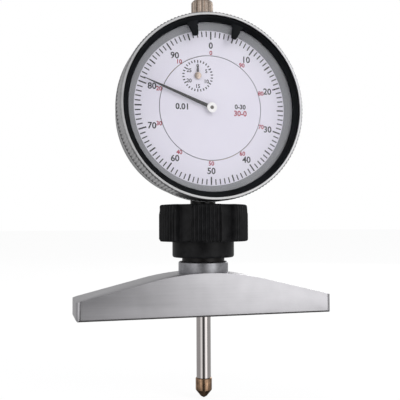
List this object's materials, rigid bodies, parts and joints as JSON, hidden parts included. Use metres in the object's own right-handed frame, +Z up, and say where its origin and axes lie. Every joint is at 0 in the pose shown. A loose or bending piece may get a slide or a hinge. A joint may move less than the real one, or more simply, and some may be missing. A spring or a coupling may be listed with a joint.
{
  "type": "depth gauge",
  "caption": "Dial depth gauge: a round dial head clamped by a star nut over a tapered steel base, with a spring plunger below the base.",
  "frame": {"origin": "centre of the base's measuring face, on the plunger's axis", "axes": "+Z up the plunger's axis to the lifting cap, +X along the base to the viewer's right, +Y away from the viewer of the dial"},
  "size_m": [0.08, 0.0282, 0.1253],
  "materials": {
    "ground_steel": "ground satin",
    "turned_steel": "fine turned",
    "black_oxide": "blackened steel",
    "black_plastic": "moulded, slightly shiny",
    "brass": "turned",
    "polished_steel": "polished",
    "satin_metal": "satin plated",
    "satin_alloy": "satin plated",
    "cap_metal": "nickelled brass",
    "black_ring": "black moulded",
    "crystal_clear": "clear",
    "dial_white": "painted, matt",
    "pointer_black": "blackened",
    "hub_white": "bright turned",
    "contact_brass": "turned",
    "hard_ball": "hard metal, dark",
    "screw_steel": "bright",
    "wheel_brass": "gilt",
    "spring_steel": "spring wire",
    "hair_steel": "blued"
  },
  "bodies": {
    "base": {"base": "ground_steel", "collar": "turned_steel", "collet": "black_oxide"},
    "clamp_nut": {"clamp_nut": "black_plastic", "nut_insert": "brass"},
    "head": {"stem": "polished_steel", "lower_bush": "brass", "upper_bush": "brass", "case": "satin_metal", "rear_cover": "satin_metal", "cover_screws": "screw_steel", "bezel_spring": "spring_steel", "dial_disc": "dial_white", "guide_rail": "brass", "rail_screws": "screw_steel", "return_spring": "spring_steel", "spring_post": "screw_steel", "gear_plate": "brass", "plate_screws": "screw_steel", "front_plate": "brass", "pillars": "brass", "pillar_screws": "screw_steel", "rear_bracket": "brass", "bracket_screws": "screw_steel", "hairspring": "hair_steel", "hairspring_stud": "brass", "counter_bush": "brass"},
    "bezel": {"bezel": "satin_alloy", "retaining_ring": "black_ring", "crystal": "crystal_clear", "dial_ring": "dial_white", "dial_clip": "spring_steel"},
    "left_marker": {"left_marker": "black_ring"},
    "right_marker": {"right_marker": "black_ring"},
    "plunger": {"plunger": "polished_steel", "contact_holder": "contact_brass", "contact_ball": "hard_ball", "guide_block": "brass", "guide_pin": "screw_steel", "lift_cap": "cap_metal"},
    "pointer": {"pointer": "pointer_black", "pointer_hub": "hub_white", "centre_arbor": "polished_steel"},
    "counter": {"counter_hand": "pointer_black", "counter_arbor": "polished_steel", "counter_wheel": "wheel_brass"},
    "rack_arbor": {"rack_arbor": "polished_steel", "rack_wheel": "wheel_brass"},
    "takeup": {"takeup_arbor": "polished_steel", "takeup_wheel": "wheel_brass"}
  },
  "joints": [
    {"name": "nut_turn", "type": "hinge", "parent": "base", "child": "clamp_nut", "pos_m": [0, 0, 0.0235], "axis": [0, 0, 1], "range_deg": [0, 180]},
    {"name": "head_slide", "type": "slide", "parent": "base", "child": "head", "axis": [0, 0, 1], "range_m": [0, 0.01]},
    {"name": "plunger_slide", "type": "slide", "parent": "head", "child": "plunger", "axis": [0, 0, 1], "range_m": [0, 0.03], "stiffness_N_per_m": 40, "springref_m": -0.02, "deforming": ["return_spring"]},
    {"name": "pointer_turn", "type": "hinge", "parent": "head", "child": "pointer", "pos_m": [0, -0.008, 0.0632], "axis": [0, 1, 0], "range_deg": [0, 10801]},
    {"name": "rack_arbor_turn", "type": "hinge", "parent": "head", "child": "rack_arbor", "pos_m": [-0.00364, -0.005, 0.05341], "axis": [0, 1, 0], "range_deg": [-1081, 0]},
    {"name": "counter_turn", "type": "hinge", "parent": "head", "child": "counter", "pos_m": [-0.00413, -0.005, 0.0728], "axis": [0, 1, 0], "range_deg": [0, 361]},
    {"name": "takeup_turn", "type": "hinge", "parent": "head", "child": "takeup", "pos_m": [-0.00729, -0.005, 0.07069], "axis": [0, 1, 0], "range_deg": [-1081, 0], "deforming": ["hairspring"]},
    {"name": "bezel_turn", "type": "hinge", "parent": "head", "child": "bezel", "pos_m": [0, -0.009, 0.0632], "axis": [0, 1, 0], "continuous": true},
    {"name": "left_marker_turn", "type": "hinge", "parent": "bezel", "child": "left_marker", "pos_m": [0, -0.0127, 0.0632], "axis": [0, 1, 0], "range_deg": [-160, 8]},
    {"name": "right_marker_turn", "type": "hinge", "parent": "bezel", "child": "right_marker", "pos_m": [0, -0.0127, 0.0632], "axis": [0, 1, 0], "range_deg": [-8, 160]}
  ],
  "couplings": [
    {"joint": "pointer_turn", "follows": "plunger_slide", "rad_per_m": 6283.2},
    {"joint": "rack_arbor_turn", "follows": "plunger_slide", "rad_per_m": -628.32},
    {"joint": "counter_turn", "follows": "plunger_slide", "rad_per_m": 209.44},
    {"joint": "takeup_turn", "follows": "plunger_slide", "rad_per_m": -628.32}
  ]
}
